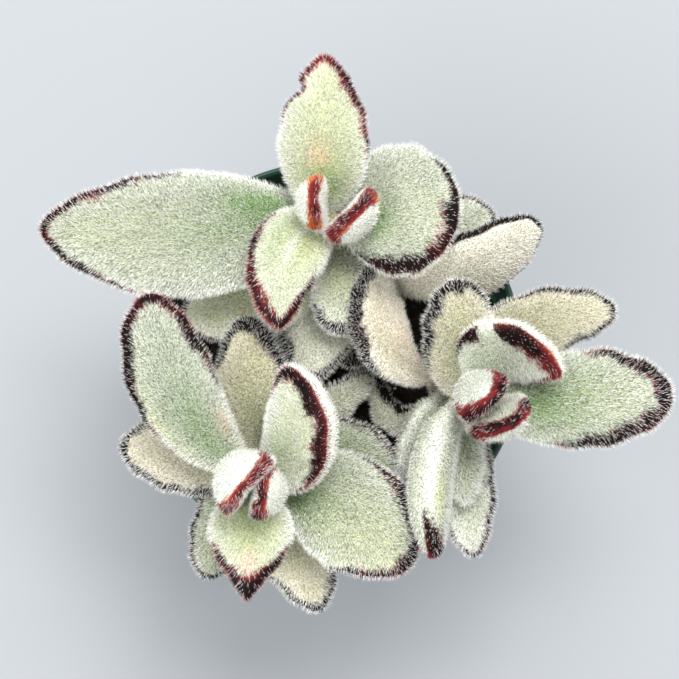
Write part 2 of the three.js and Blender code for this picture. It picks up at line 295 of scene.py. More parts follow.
topLeaves = [
    dict(root=(-1, 37, 116), tip=(-3, 38.5, 146), width=12.5, thick=6.5, arch=-2, face=180, cup=0.35,
         age="young", margin=(0.5, 0.5, 3.4, 0.8, -1.6), paleAndLit=0.7, tipTone=-0.4),
    dict(root=(3.5, 34.5, 116), tip=(7.5, 36, 143), width=15.5, thick=7, arch=-2.5, face=-45, cup=0.35,
         age="young", margin=(0.5, 0.5, 4.2, 0.46, -1.9), paleAndLit=0.7, tipTone=-0.2),
    dict(root=(-1, 36, 119), tip=(-0.5, 74, 132), width=21.5, arch=3, widest=0.46, blunt=0.64, notch=2.4,
         age="young", margin=(0.66, 0.4, 3.0, 0.24, -0.4), glow=(0.8, 0.0, 0.4, 0.4),
         flush=(0.25, 0.0, 0.2, 0.6), blush=(0.45, -0.1, 0.09, 0.5), paleAndLit=0.1),
    # its rib below zero paints a pale highlight streak down the midrib
    dict(root=(-1.5, 35, 121), tip=(-11.5, 7.5, 131), width=18.5, bend=4.5, arch=3, widest=0.4, blunt=0.58,
         age="young", margin=(0.62, 0.3, 4.4, 0.18, 0.1), salt=0.08, glow=(0.3, -0.5, 0.3, 0.5), paleAndLit=0.2,
         rib=-0.12, taper=0.65),
    dict(root=(2, 34.5, 117), tip=(33, 36.5, 124), width=32.5, bend=-1, arch=2, widest=0.56, blunt=0.5,
         cup=0.16, margin=(0.84, 0.2, 4.6, 0.04, 1.0), salt=0.1, paleAndLit=0.2, flush=(0.35, 0.1, 0.14, 1.2, 1.6)),
    dict(root=(0, 35, 114), tip=(-72, 33, 118), width=31, arch=3, bend=-3, widest=0.5, blunt=0.6,
         margin=(0.66, 0.55, 2.8, 0.08, 0.2), salt=0.16, paleAndLit=0.1, flush=(0.22, 0.45, 0.13, 1.4)),
    dict(root=(2, 29, 103), tip=(3.5, 6, 112), width=15.5, bend=-1, arch=2, widest=0.55, blunt=0.36,
         margin=(0.7, 0.7, 3.8, 0.0, 0.2), salt=0.55, paleAndLit=0.4, flush=(0.35, 0.0, 0.3, 0.0),
         glow=(0.5, 0.0, 0.5, 0.5)),
    dict(root=(3, 29, 101), tip=(43, 36.5, 108), width=19, arch=2,
         margin=(0.3, 0.65, 1.6, 0.0, 0.3), salt=0.4, paleAndLit=0.4),
    dict(root=(3.5, 27, 95), tip=(53.5, 35, 111), width=26, bend=10.5, roll=122, thick=6.5, widest=0.68,
         blunt=0.45, age="old", margin=(0.1, 0.1, 3.6, 0.0, -1.0), salt=0.4, paleAndLit=0.4, cool=0.25),
    # pale and glow this strong paint light onto this leaf, which lies in the shadow of the wide leaf above
    # it; the glow also makes it yellower
    dict(root=(2, 28, 98), tip=(-37, 9, 99), width=26, arch=3, margin=(0.7, 0.7, 1.5, 0.0, 0.3), paleAndLit=1.2,
         glow=(0.6, 0.0, 0.7, 1.0)),
    dict(root=(2, 29, 99), tip=(9, 53.5, 107), width=15),
    dict(root=(1.5, 26, 92), tip=(-6.5, -7, 101), width=19.5, arch=3, age="old",
         margin=(0.7, 0.35, 4.0, 0.0, 0.1), salt=0.65, paleAndLit=0.55, flush=(0.5, 0.0, 0.4, 0.5), cool=0.55),
    dict(root=(3, 25.5, 88), tip=(8.5, -2.5, 96), width=18, arch=2, widest=0.6, blunt=0.42, age="old",
         margin=(0.3, 0.3, 4.6, 0.0, 0.9), salt=0.5, paintedShade=0.3, cool=0.4),
]

leftLeaves = [
    dict(root=(-19.5, -30.5, 116), tip=(-19.5, -30, 150), width=17, thick=9, arch=-3.5, face=140, cup=0.45,
         age="young", margin=(0.5, 0.5, 3.0, 0.36, -1.3), paleAndLit=0.55, salt=0.3),
    dict(root=(-17, -32, 116), tip=(-15.5, -32, 147), width=13, thick=7.5, arch=-2.5, face=-8, cup=0.4,
         age="young", margin=(0.5, 0.5, 3.4, 0.3, -1.6), paleAndLit=0.6, salt=0.25),
    dict(root=(-15.5, -30, 118), tip=(-9.5, -1.5, 132), width=21.5, thick=11, bend=7, roll=40, arch=2,
         widest=0.48, blunt=0.5, age="young", margin=(0.84, 0.25, 4.0, 0.1, 0.9), salt=0.05, paleAndLit=0.45,
         flush=(0.4, -0.5, 0.35, 0.4)),
    dict(root=(-18.5, -32, 118), tip=(-20, -60, 124), width=20.5, arch=3, widest=0.4, blunt=1.1,
         age="young", margin=(0.6, 0.6, 6.4, 0.1, 0.0), salt=0.08, glow=(0.5, 0.0, 0.4, 0.4), paleAndLit=0.25,
         blush=(0.7, 0.0, 0.09, 0.8)),
    dict(root=(-18.5, -30, 115), tip=(-43.5, 16, 128), width=21, bend=-6, arch=3, widest=0.61, blunt=0.5,
         margin=(0.45, 0.54, 3.2, 0.02, 0.2), salt=0.12, tipTone=0.16, paleAndLit=0.2,
         glow=(0.45, -0.9, 0.45, 0.7, 0.6), blush=(0.3, 0.7, 0.1, 0.25)),
    dict(root=(-17, -31, 109), tip=(19.5, -54, 116), width=28.5, bend=-5.5, arch=3, widest=0.58, blunt=0.55,
         margin=(0.5, 0.75, 4.0, 0.04, 0.5), salt=0.25, paleAndLit=0.1, flush=(0.25, 0.3, 0.2, 0.8),
         glow=(0.8, 0.2, 0.35, 0.6)),
    dict(root=(-17, -28, 103), tip=(-20.5, 10.5, 117), width=17.5, arch=1, widest=0.58, blunt=0.5,
         age="old", margin=(0.72, 0.55, 4.2, 0.0, 0.0), salt=0.5, flush=(0.4, 0.0, 0.4, 0.6)),
    dict(root=(-17, -28, 99), tip=(-53.5, -22.5, 104), width=20, arch=3, age="old",
         margin=(0.1, 0.6, 2.8, 0.0, 0.2), salt=0.5, paleAndLit=0.5),
    dict(root=(-17, -28.5, 98), tip=(-31.5, -57, 104), width=17, bend=1.5, arch=2,
         margin=(0.75, 0.2, 1.8, 0.0, 0.2), salt=0.35),
    dict(root=(-16.5, -28, 95), tip=(20, -35, 101), width=26, bend=-3, arch=3,
         margin=(0.3, 0.8, 1.4, 0.0, 0.5), salt=0.3),
    dict(root=(-16.5, -28.5, 92), tip=(-2, -66, 100), width=19.5, arch=3, age="old",
         margin=(0.65, 0.65, 2.8, 0.0, 0.3), salt=0.5, paleAndLit=0.45, flush=(0.45, 0.0, 0.5, 0.6)),
    dict(root=(-15.5, -25, 89), tip=(11.5, -4.5, 96), width=8.5, arch=2, widest=0.6, blunt=0.45,
         age="old", margin=(0.3, 0.9, 1.3, 0.0, 0.3), salt=0.5, paintedShade=0.4, cool=0.4),
]

rightLeaves = [
    # dimmed: painted shade that tones down this brightly lit top leaf
    dict(root=(37.5, -10.5, 115), tip=(39.5, -9.5, 146), width=13.5, thick=8, arch=-3.5, face=137, cup=0.4,
         age="young", margin=(0.5, 0.5, 4.4, 0.2, -1.9), paleAndLit=0.3, blush=(0.4, 0.0, 0.3, 0.25), paintedShade=0.22),
    dict(root=(39.5, -12.5, 115), tip=(44, -15, 144), width=15.5, thick=7, arch=-2.5, face=-61, cup=0.35,
         age="young", margin=(0.5, 0.5, 4.6, 0.2, -1.9), paleAndLit=0.4),
    dict(root=(37, -7.5, 116), tip=(57.5, -4, 132), width=21.5, bend=-8.5, roll=-40, arch=2,
         age="young", margin=(0.3, 0.9, 6.2, 0.06, 0.5), salt=0.08, paleAndLit=0.7, gap=(0.5, 0.07), tipTone=0.28,
         cool=0.2),
    dict(root=(38, -11.5, 114), tip=(86.5, -9, 120), width=24.5, arch=3, widest=0.56, blunt=0.48,
         margin=(0.62, 0.45, 4.4, 0.0, 0.9), salt=0.25, paleAndLit=0.15, flush=(0.35, 0.0, 0.3, 0.7)),
    dict(root=(35, -9.5, 112), tip=(33.5, 19.5, 124), width=17, bend=-1.5, arch=2, widest=0.54, blunt=0.36,
         age="old", margin=(0.35, 0.85, 3.6, 0.0, 0.2), salt=0.45, flush=(0.5, 0.3, 0.25, 1.5), paintedShade=0.22),
    dict(root=(33.5, -11.5, 112), tip=(26.5, -49, 126), width=21, bend=4, roll=80, thick=11,
         margin=(0.92, 0.84, 9.0, 0.08, -1.4), salt=0.2, paleAndLit=0.35, glow=(0.7, 0.9, 0.14, 1.3)),
    dict(root=(28, -6.5, 98), tip=(11.5, 24, 114), width=17.5, bend=-7, roll=-30, arch=1, widest=0.62,
         blunt=0.58, age="old", margin=(0.38, 0.95, 4.6, 0.0, -0.3), salt=0.55, paleAndLit=0.9,
         blush=(0.45, 0.6, 0.3, 0.2)),
    dict(root=(33.5, -9, 100), tip=(74, 11.5, 108), width=17.5, bend=-6.5, arch=2, blunt=0.46,
         age="old", margin=(0.45, 0.55, 1.6, 0.0, 0.5), salt=0.4, flush=(0.35, 0.0, 0.4, 0.6)),
    dict(root=(34, -10, 105), tip=(35, -37.5, 112), width=10.5, margin=(0.9, 0.9, 0.0, 0.1, 0.3), paleAndLit=0.3),
    dict(root=(33.5, -9, 98), tip=(38, -51.5, 104), width=15, bend=0.5, arch=3,
         margin=(0.3, 0.8, 2.0, 0.0, 0.3), salt=0.4, paleAndLit=0.6),
    dict(root=(32.5, -9, 102), tip=(19.5, -32, 106), width=11, bend=3, roll=55,
         margin=(0.9, 0.9, 0.8, 0.1, 0.3), paleAndLit=0.2, paintedShade=0.35),
    dict(root=(29, -10.5, 87), tip=(12.8, -4.5, 92), width=7.5, thick=6, bend=-9.5, arch=2, age="old",
         margin=(0.95, 0.25, 2.6, 0.0, 0.6), salt=0.2, paintedShade=0.4, cool=0.4),
]

heads = {"top": topLeaves, "left": leftLeaves, "right": rightLeaves}


# One leaf: its points, faces and attributes
def leafSkin(given, number):
    leaf = {**grownLeaf, **given}
    form = leafForm
    root, tip = Vector(leaf["root"]), Vector(leaf["tip"])
    chord = (tip - root).normalized()
    away = math.atan2(chord.y, chord.x) if leaf["face"] is None else math.radians(leaf["face"])
    side = Vector((math.cos(away), math.sin(away), 0)).cross(Vector((0, 0, 1)))
    side = (side - chord * side.dot(chord)).normalized()
    normal = side.cross(chord)
    middle = (root + tip) / 2 + normal * 2 * leaf["arch"] + side * 2 * leaf["bend"]
    peak = math.log(0.5) / math.log(leaf["widest"])
    roll = math.radians(leaf["roll"])
    rings, sides = form["rings"], form["sides"]
    points, along, across, rim, comb = [root], [0.0], [0.0], [0.0], [-chord]
    for row in range(1, rings):
        turn = math.pi * row / rings
        s = (1 - math.cos(turn)) / 2
        centre = root * (1 - s) ** 2 + middle * 2 * s * (1 - s) + tip * s * s
        forward = ((middle - root) * (1 - s) + (tip - middle) * s).normalized()
        level = (side - forward * side.dot(forward)).normalized()
        rise = level.cross(forward)
        spread = level * math.cos(roll) + rise * math.sin(roll)
        lift = rise * math.cos(roll) - level * math.sin(roll)
        tooth = math.cos(form["toothRings"] * turn) * float(smooth(form["toothFrom"], form["toothFull"], s))
        outline = math.sin(math.pi * s ** peak) ** leaf["blunt"]
        half = (leaf["width"] / 2 + form["toothDepth"] * tooth) * outline
        bite = leaf["notch"] * math.exp(-((s - form["notchAlong"]) / form["notchLength"]) ** 2)
        thick = leaf["thick"] / 2 * math.sin(math.pi * s) ** form["fullness"]
        for corner in range(sides):
            angle = -2 * math.pi * corner / sides
            c, k = math.cos(angle), math.sin(angle)
            x = half * math.copysign(abs(c) ** form["plump"], c) + bite * max(0, -c)
            y = thick * math.copysign(abs(k) ** form["plump"], k) + leaf["cup"] * half * c * c
            if k > 0:
                y -= (form["groove"] * thick * math.exp(-(c / form["grooveWidth"]) ** 2)
                      * (1 - form["grooveFade"] * s))
            points.append(centre + spread * x + lift * y)
            along.append(s)
            across.append(c)
            inward = min(half * (1 - abs(c)), (tip - centre).length)
            rim.append(math.copysign(math.hypot(inward, thick * k), k))
            lie = form["combRoot"] + (1 - form["combRoot"]) * s
            comb.append((forward * form["combAlong"] + spread * c * form["combAcross"]) * lie)
    points.append(tip)
    along.append(1.0)
    across.append(0.0)
    rim.append(0.0)
    comb.append(chord)
    verts = np.array(points)
    # gentle swellings of the flesh
    for index in range(1, len(verts) - 1):
        where = Vector(verts[index]) / form["rippleSize"] + Vector((number * 3.7, 0, 0))
        out = verts[index] - (verts[1 + (index - 1) // sides * sides:][:sides].mean(axis=0))
        size = np.linalg.norm(out)
        if size > 1e-6:
            full = min(1, size / form["rippleFull"])
            verts[index] += out / size * form["ripple"] * noise.noise(where) * full
    shape = {"along": np.array(along), "across": np.array(across), "rim": np.array(rim),
             "comb": np.array(comb)}
    return verts, skinFaces(rings - 1, sides), shape, leaf


# Markings of a leaf. Sizes and reaches are in mm, the other numbers are shares of its length, its width or
# the full strength.
paintForm = {
    "raggedSize": 2.6, "blotchSize": 5.0, "raggedWidth": 0.4, "startWidth": 0.45,
    "edgeReach": 1.1, "edgePale": 0.6, "paleReach": 3.5, "palePart": 0.22,
    "rootPart": 0.8, "rootReach": 0.22, "backPart": 0.8, "ribWidth": 0.12, "patchWide": 2.2,
    "fringe": {"young": 0.48, "grown": 0.36, "old": 0.0}, "fringeFall": 1.5, "toneBlotch": 0.25,
    "feltEdge": 0.6, "feltPaleAndLit": 0.3, "feltRoot": 0.45, "feltPaintedShade": 0.5, "feltThin": 0.4, "feltBlotch": 0.35,
    "sageEdge": 0.8, "sagePaleAndLit": 0.7, "blackSalt": 0.7, "hairBase": 0.95, "hairEdge": 0.05, "hairReach": 1.6,
}


# Colours and masks of a leaf, from where each point lies on it, with painted shade and painted light in the
# colours
def leafPaint(verts, shape, leaf, number):
    form = paintForm
    along, across, rim = shape["along"], shape["across"], shape["rim"]
    tints = {key: np.array(srgb(value)) for key, value in leafTints[leaf["age"]].items()}
    for key in ("blush", "paintedShade", "cool"):
        tints[key] = np.array(srgb(leafTints[key]))
    paleAndLit = tints["paleAndLit"]
    startLeft, startRight, width, tone, inset = leaf["margin"]
    rightShare = smooth(-0.25, 0.25, across)
    start = startLeft * (1 - rightShare) + startRight * rightShare
    raggedPlace, blotchPlace = Vector((0, number * 5.1, 0)), Vector((number * 2.3, 0, 9))
    ragged = np.array([noise.noise(Vector(v) / form["raggedSize"] + raggedPlace) for v in verts])
    blotch = np.array([noise.noise(Vector(v) / form["blotchSize"] + blotchPlace) for v in verts])
    band = width * smooth(start - 0.12, start + 0.08, along + 0.05 * ragged)
    band = band * (1 + form["raggedWidth"] * ragged)
    narrow = form["startWidth"]
    band = band * (narrow + (1 - narrow) * smooth(start, start + leaf["taper"], along))
    if leaf["gap"]:
        middle, size = leaf["gap"]
        band = band * smooth(0.6, 1.2, abs(along - middle) / size)
    within = rim - inset
    above = smooth(-0.6, 0.6, rim)
    edge = np.exp(-(rim / form["edgeReach"]) ** 2)
    colour = np.tile(tints["base"], (len(verts), 1))

    def tint(towards, share):
        share = np.clip(share, 0, 1)[:, None]
        colour[:] = colour * (1 - share) + towards * share

    tint(tints["root"], form["rootPart"] * smooth(form["rootReach"], 0.0, along))
    tint(tints["back"], form["backPart"] * (1 - above))
    # a green stripe along the midrib near the root: partly flesh showing through thinner felt, partly painted
    # shade in the groove
    rib = leaf["rib"] * np.exp(-(across / form["ribWidth"]) ** 2) * smooth(0.75, 0.35, along) * above
    tint(tints["flush"], rib)
    thin = rib.clip(0, 1)
    # pale whitening: the leaf's own pale felt, and painted light that lifts leaves lying in the shade of
    # others
    tint(paleAndLit, leaf["paleAndLit"] * (0.75 + 0.4 * blotch))
    for name in ("flush", "glow", "blush"):
        u, v, size, strength, *extra = leaf[name]
        wide = extra[0] if extra else form["patchWide"]
        near = np.exp(-(((along - u) / size) ** 2 + ((across - v) / (wide * size)) ** 2))
        share = strength * near * above * (1 + 0.8 * blotch)
        tint(tints[name], share)
        if name == "flush":
            thin = np.maximum(thin, share.clip(0, 1))
    # a rib below zero paints a pale highlight streak down the midrib
    tint(paleAndLit, -4 * rib)
    tint(paleAndLit, form["edgePale"] * edge)
    tint(paleAndLit, form["palePart"] * np.exp(-(rim / form["paleReach"]) ** 2))
    # cool greys the whole leaf; dimming lays painted shade over it
    for name in ("cool", "paintedShade"):
        tint(tints[name], leaf[name] * np.ones(len(verts)))
    colour[:, 3] = 1
    inBand = smooth(-0.35, 0.15, within) * smooth(0.45, -0.35, within - band) * smooth(0.15, 0.6, band)
    core = (1 - abs(2 * within / np.maximum(band, 0.3) - 1)).clip(0, 1)
    fringe = form["fringe"][leaf["age"]]
    tones = tone + fringe * (1 - core) ** form["fringeFall"] + form["toneBlotch"] * blotch
    tones += leaf["tipTone"] * smooth(0.7, 0.95, along)
    blackShare = smooth(0.52, 0.22, tones)
    rustShare = smooth(0.7, 0.92, tones)
    bare = form["feltRoot"]
    # pale leaves carry more white felt, which on shaded leaves is part of the painted light
    felt = (0.85 + form["feltEdge"] * edge) * (1 + form["feltPaleAndLit"] * leaf["paleAndLit"])
    felt = felt * (bare + (1 - bare) * smooth(0.0, 0.3, along))
    # dimmed leaves also carry fewer light hairs, part of their painted shade
    felt = felt * (1 - inBand * (1 - leaf["salt"])) * (1 - form["feltPaintedShade"] * leaf["paintedShade"])
    # the flesh shows through where the felt is thin
    felt = felt * (1 - form["feltThin"] * thin) * (1 + form["feltBlotch"] * blotch)
    floats = {
        "rim": within, "band": band, "tone": tones,
        "blackHair": inBand * blackShare * (1 - form["blackSalt"] * leaf["salt"]),
        "rustHair": inBand * rustShare,
        "redHair": inBand * (1 - blackShare - rustShare).clip(0, 1),
        "hairLength": form["hairBase"] + form["hairEdge"] * np.exp(-(rim / form["hairReach"]) ** 2),
    }
    for kind, share in zip(("white", "cream", "sage"), feltShares[leaf["age"]]):
        fewer = (1 - form["sageEdge"] * edge) * (1 - form["sagePaleAndLit"] * leaf["paleAndLit"])
        thinned = fewer if kind == "sage" else 1
        # among the dark hairs of a margin all light hairs are white
        share = share * (1 - inBand) + inBand * (kind == "white")
        floats[kind + "Upper"] = felt * share * thinned * above
        floats[kind + "Under"] = felt * share * thinned * (1 - above)
    return floats, colour


# Felt: thin three-sided hairs, combed towards the leaf's tip and margins and each a little its own way.
# Real ones are finer and stand closer: these are as thick as they must be to show. Sizes in mm, shortest and
# longest are shares of the length, and upper to stem say how many hairs stand on each square mm.

feltLook = {
    "sides": 3, "radius": 0.06, "comb": 1.7, "scatter": 0.5,
    "whiteLength": 1.3, "darkLength": 1.0, "shortest": 0.6, "longest": 1.2,
    "upper": 10.0, "under": 2.3, "dark": 17.0, "stem": 3.0,
}


def feltTree():
    tree = bpy.data.node_groups.new("plantFelt", "GeometryNodeTree")
    face = tree.interface
    face.new_socket("Geometry", in_out="INPUT", socket_type="NodeSocketGeometry")
    for name, kind in (("Hairs per Square Metre", "NodeSocketFloat"), ("Mask", "NodeSocketString"),
                       ("Length", "NodeSocketFloat"), ("Radius", "NodeSocketFloat"),
                       ("Comb", "NodeSocketFloat"), ("Scatter", "NodeSocketFloat"),
                       ("Seed", "NodeSocketInt"), ("Material", "NodeSocketMaterial")):
        face.new_socket(name, in_out="INPUT", socket_type=kind)
    face.new_socket("Geometry", in_out="OUTPUT", socket_type="NodeSocketGeometry")
    entry = addNode(tree, "NodeGroupInput").outputs
    mask = addNode(tree, "GeometryNodeInputNamedAttribute", None, {"Name": entry["Mask"]}, data_type="FLOAT")
    density = addNode(tree, "ShaderNodeMath", None,
                      {0: entry["Hairs per Square Metre"], 1: mask.outputs["Attribute"]},
                      operation="MULTIPLY")
    roots = addNode(tree, "GeometryNodeDistributePointsOnFaces", None,
                    {"Mesh": entry["Geometry"], "Density": density.outputs[0], "Seed": entry["Seed"]})
    hair = addNode(tree, "GeometryNodeMeshCone",
                   {"Vertices": feltLook["sides"], "Radius Top": 0.0, "Radius Bottom": 1.0, "Depth": 1.0},
                   fill_type="NONE")
    comb = addNode(tree, "GeometryNodeInputNamedAttribute", {"Name": "comb"}, data_type="FLOAT_VECTOR")
    combed = addNode(tree, "ShaderNodeVectorMath", None,
                     {0: comb.outputs["Attribute"], "Scale": entry["Comb"]}, operation="SCALE")
    anyWay = addNode(tree, "FunctionNodeRandomValue", {0: (-1, -1, -1), 1: (1, 1, 1)},
                     {"Seed": entry["Seed"]}, data_type="FLOAT_VECTOR")
    strayed = addNode(tree, "ShaderNodeVectorMath", None,
                      {0: anyWay.outputs[0], "Scale": entry["Scatter"]}, operation="SCALE")
    leant = addNode(tree, "ShaderNodeVectorMath", None,
                    {0: combed.outputs[0], 1: strayed.outputs[0]}, operation="ADD")
    axis = addNode(tree, "ShaderNodeVectorMath", None,
                   {0: roots.outputs["Normal"], 1: leant.outputs[0]}, operation="ADD")
    stand = addNode(tree, "FunctionNodeAlignRotationToVector", None, {"Vector": axis.outputs[0]}, axis="Z")
    longer = addNode(tree, "GeometryNodeInputNamedAttribute", {"Name": "hairLength"}, data_type="FLOAT")
    vary = addNode(tree, "FunctionNodeRandomValue", {2: feltLook["shortest"], 3: feltLook["longest"]},
                   {"Seed": entry["Seed"]}, data_type="FLOAT")
    length = addNode(tree, "ShaderNodeMath", None, {0: longer.outputs["Attribute"], 1: entry["Length"]},
                     operation="MULTIPLY")
    length = addNode(tree, "ShaderNodeMath", None, {0: length.outputs[0], 1: vary.outputs[1]},
                     operation="MULTIPLY")
    size = addNode(tree, "ShaderNodeCombineXYZ", None,
                   {0: entry["Radius"], 1: entry["Radius"], 2: length.outputs[0]})
    placed = addNode(tree, "GeometryNodeInstanceOnPoints", None,
                     {"Points": roots.outputs["Points"], "Instance": hair.outputs["Mesh"],
                      "Rotation": stand.outputs[0], "Scale": size.outputs[0]})
    real = addNode(tree, "GeometryNodeRealizeInstances", None, {"Geometry": placed.outputs[0]})
    finish = addNode(tree, "GeometryNodeSetMaterial", None,
                     {"Geometry": real.outputs[0], "Material": entry["Material"]})
    addNode(tree, "NodeGroupOutput", None, {"Geometry": finish.outputs[0]})
    return tree


# Runs a tree on a mesh and gives the result as a plain mesh
def grow(tree, mesh, inputs):
    holder = bpy.data.objects.new("growing", mesh)
    bpy.context.scene.collection.objects.link(holder)
    modifier = holder.modifiers.new("growing", "NODES")
    modifier.node_group = tree
    for item in tree.interface.items_tree:
        if item.in_out == "INPUT" and item.name in inputs:
            modifier[item.identifier] = inputs[item.name]
    depsgraph = bpy.context.evaluated_depsgraph_get()
    result = bpy.data.meshes.new_from_object(holder.evaluated_get(depsgraph), depsgraph=depsgraph)
    bpy.data.objects.remove(holder)
    return result


# Hairs over a skin as one piece. Each batch is a material's name, its mask, hairs per square mm and length.
def feltPiece(name, skin, batches, seed, slotName):
    grownHairs, counts = [], []
    for index, (kind, mask, density, length) in enumerate(batches):
        grownHairs.append(grow(feltNodes, skin, {
            "Hairs per Square Metre": density * 1e6, "Mask": mask, "Length": length * mm,
            "Radius": feltLook["radius"] * mm, "Comb": feltLook["comb"], "Scatter": feltLook["scatter"],
            "Seed": seed + index, "Material": hairs[kind]}))
        counts.append(len(grownHairs[-1].polygons))
    verts = np.concatenate([vertArray(mesh) for mesh in grownHairs])
    starts = np.cumsum([0] + [len(mesh.vertices) for mesh in grownHairs])
    loops = np.concatenate([loopArray(mesh) + start for mesh, start in zip(grownHairs, starts)])
    joined = bpy.data.meshes.new(name)
    joined.vertices.add(len(verts))
    joined.vertices.foreach_set("co", verts.ravel())
    joined.loops.add(len(loops))
    joined.loops.foreach_set("vertex_index", loops)
    joined.polygons.add(sum(counts))
    joined.polygons.foreach_set("loop_start", np.arange(0, len(loops), 3))
    joined.update(calc_edges=True)
    used = [hairs[kind] for kind in dict.fromkeys(batch[0] for batch in batches)]
    slots = [used.index(hairs[batch[0]]) for batch in batches]
    joined.polygons.foreach_set("material_index", np.repeat(slots, counts))
    settle(name, joined, used, slotName, smoothShade=False)
    print(name, sum(counts), "triangles")


# The points and the face corners of a mesh as arrays
def vertArray(mesh):
    flat = np.empty(len(mesh.vertices) * 3, np.float32)
    mesh.vertices.foreach_get("co", flat)
    return flat.reshape(-1, 3)


def loopArray(mesh):
    flat = np.empty(len(mesh.loops), np.int32)
    mesh.loops.foreach_get("vertex_index", flat)
    return flat


# Puts a piece in the scene, riding on the body and standing in for CAD nodes
def settle(name, mesh, materials, slotName, *nodes, smoothShade=True):
    piece = linked(name, mesh, materials, smoothShade)
    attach(piece, "root")
    if nodes:
        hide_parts(*nodes)


# A plain material with fine grain: two colours mixed by noise, and a bump
def grainMaterial(look):
    material = bpy.data.materials.new(look["name"])
    material.use_nodes = True
    tree = material.node_tree
    shader = tree.nodes["Principled BSDF"]
    place = addNode(tree, "ShaderNodeTexCoord").outputs["Object"]
    values = {"Scale": 1 / (look["grain"] * mm), "Detail": 4.0, "Roughness": 0.6}
    grain = addNode(tree, "ShaderNodeTexNoise", values, {"Vector": place}).outputs["Fac"]
    ramp = addNode(tree, "ShaderNodeValToRGB", None, {"Fac": grain})
    for stop, where, hexCode in zip(ramp.color_ramp.elements, (0.3, 0.7), look["colours"]):
        stop.position = where
        stop.color = srgb(hexCode)
    tree.links.new(ramp.outputs["Color"], shader.inputs["Base Color"])
    bump = addNode(tree, "ShaderNodeBump", {"Strength": 0.6, "Distance": look["bump"] * mm},
                   {"Height": grain})
    tree.links.new(bump.outputs["Normal"], shader.inputs["Normal"])
    shader.inputs["Roughness"].default_value = look["roughness"]
    shader.inputs["IOR"].default_value = look["ior"]
    return material


grainLooks = {
    # thermoformed polypropylene: an even dark green with a satin shine
    "pot": {"name": "greenPotPlastic", "colours": ("1C3F30", "234838"), "grain": 1.4, "bump": 0.02,
            "roughness": 0.42, "ior": 1.49},
    # damp peat mix: almost black, dull and grainy
    "soil": {"name": "darkPottingSoil", "colours": ("0B0A07", "241C13"), "grain": 1.2, "bump": 0.3,
             "roughness": 0.95, "ior": 1.33},
    "crumb": {"name": "peatCrumbs", "colours": ("120E09", "35291B"), "grain": 1.6, "bump": 0.2,
              "roughness": 0.95, "ior": 1.33},
    # expanded glassy grains: chalky white specks
    "perlite": {"name": "perliteGrains", "colours": ("C9C6BC", "EDEBE4"), "grain": 0.8, "bump": 0.15,
                "roughness": 0.85, "ior": 1.5},
    # green bark going woody: dull and uneven
    "stem": {"name": "stemBark", "colours": ("7A7350", "A8A27A"), "grain": 2.2, "bump": 0.15,
             "roughness": 0.85, "ior": 1.45},
}

# Pot: a thermoformed nursery pot, turned from a profile of radius and height in mm
potForm = {
    "sides": 128, "corner": 0.7, "cornerSteps": 3, "sharp": 40.0,
    "holes": 8, "holeRadius": 4.0, "holeCircle": 25.0, "holeSides": 40, "drillFrom": -1.0, "drillTo": 3.0,
    "profile": [
        (0, 0.35), (1.6, 0.35), (2.0, 0.7), (13.0, 0.7), (14.0, 0), (34.5, 0), (36, 1.5), (48.21, 81),
        (49.41, 82), (50.9, 86.8), (52.5, 88.4), (51.86, 90), (50.58, 89.36), (48.21, 82), (47.01, 81),
        (34.8, 3.1), (33.3, 1.6), (0, 1.6)],
}


# A profile with its corners rounded off
def roundedProfile(profile, corner, steps):
    points = [Vector((*profile[0], 0))]
    for before, here, after in zip(profile, profile[1:], profile[2:]):
        p, q, r = (Vector((*point, 0)) for point in (before, here, after))
        start = q + (p - q) * min(0.45, corner / (p - q).length)
        end = q + (r - q) * min(0.45, corner / (r - q).length)
        for step in range(steps + 1):
            t = step / steps
            points.append(start * (1 - t) ** 2 + q * 2 * t * (1 - t) + end * t * t)
    return points + [Vector((*profile[-1], 0))]


# Turns a profile round the upright axis; its first and last points lie on the axis
def turned(profile, sides):
    verts = [(0, 0, profile[0].y)]
    for point in profile[1:-1]:
        for side in range(sides):
            angle = 2 * math.pi * side / sides
            verts.append((point.x * math.cos(angle), point.x * math.sin(angle), point.y))
    return verts + [(0, 0, profile[-1].y)], skinFaces(len(profile) - 2, sides)


# The turned body with its drain holes cut
def makePot(form, material):
    verts, faces = turned(roundedProfile(form["profile"], form["corner"], form["cornerSteps"]), form["sides"])
    body = linked("potBlank", meshFrom("potBlank", verts, faces), [material])
    drills, drillFaces = [], []
    for hole in range(form["holes"]):
        angle = 2 * math.pi * hole / form["holes"]
        middle = Vector((math.cos(angle), math.sin(angle), 0)) * form["holeCircle"]
        wide, low, high = form["holeRadius"], form["drillFrom"], form["drillTo"]
        column = [Vector((0, low, 0)), Vector((wide, low, 0)), Vector((wide, high, 0)), Vector((0, high, 0))]
        points, sheets = turned(column, form["holeSides"])
        drillFaces += [tuple(corner + len(drills) for corner in sheet) for sheet in sheets]
        drills += [Vector(point) + middle for point in points]
    drill = linked("potDrills", meshFrom("potDrills", drills, drillFaces), [material])
    cut = body.modifiers.new("cut", "BOOLEAN")
    cut.object = drill
    cut.solver = "EXACT"
    depsgraph = bpy.context.evaluated_depsgraph_get()
    mesh = bpy.data.meshes.new_from_object(body.evaluated_get(depsgraph), depsgraph=depsgraph)
    bpy.data.objects.remove(body)
    bpy.data.objects.remove(drill)
    mesh.materials.clear()
    settle("greenPot", mesh, [material], "pot", "pot")
    mesh.set_sharp_from_angle(angle=math.radians(form["sharp"]))
    print("pot", len(mesh.polygons), "faces")


